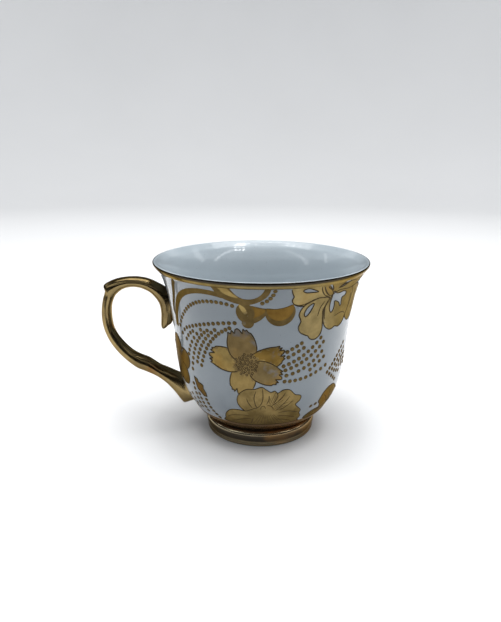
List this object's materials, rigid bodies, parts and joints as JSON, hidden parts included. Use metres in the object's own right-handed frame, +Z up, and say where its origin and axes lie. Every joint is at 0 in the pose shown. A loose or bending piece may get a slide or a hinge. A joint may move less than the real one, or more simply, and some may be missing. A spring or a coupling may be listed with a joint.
{
  "type": "teacup",
  "caption": "Porcelain teacup with a flared lip, a raised foot ring, a scrolled gilded handle and gold flowers, ribbons and dots fired on the wall.",
  "frame": {"origin": "on the cup's axis, in the plane that the foot stands on", "axes": "+Z up, the handle reaches out along -X, the front of the decoration faces -Y"},
  "size_m": [0.1087, 0.0862, 0.0725],
  "materials": {
    "porcelain": "gloss",
    "bare_porcelain": "matte",
    "gilded_porcelain": "gloss",
    "band_gold": "polished",
    "bright_gold": "satin",
    "matte_gold": "satin"
  },
  "bodies": {
    "root": {"cup_body": "porcelain", "foot_ring": "bare_porcelain", "handle": "gilded_porcelain", "foot_joint": "bare_porcelain", "upper_handle_joint": "gilded_porcelain", "lower_handle_joint": "gilded_porcelain", "lip_gilding": "band_gold", "base_gilding": "band_gold", "foot_gilding": "band_gold", "front_anemone": "bright_gold", "front_fan_flower": "bright_gold", "front_clover_flower": "bright_gold", "front_corner_flower": "bright_gold", "front_side_leaf": "bright_gold", "front_ribbon_scroll": "matte_gold", "front_ribbon_loop": "matte_gold", "front_ribbon_knot": "matte_gold", "front_scallop_swag": "matte_gold", "front_rope_line": "matte_gold", "front_bead_trail": "matte_gold", "front_left_dots": "matte_gold", "front_right_dots": "matte_gold", "front_far_dots": "matte_gold", "front_lower_dots": "matte_gold", "back_anemone": "bright_gold", "back_fan_flower": "bright_gold", "back_clover_flower": "bright_gold", "back_corner_flower": "bright_gold", "back_side_leaf": "bright_gold", "back_ribbon_scroll": "matte_gold", "back_ribbon_loop": "matte_gold", "back_ribbon_knot": "matte_gold", "back_scallop_swag": "matte_gold", "back_rope_line": "matte_gold", "back_bead_trail": "matte_gold", "back_left_dots": "matte_gold", "back_right_dots": "matte_gold", "back_far_dots": "matte_gold", "back_lower_dots": "matte_gold"}
  },
  "joints": []
}
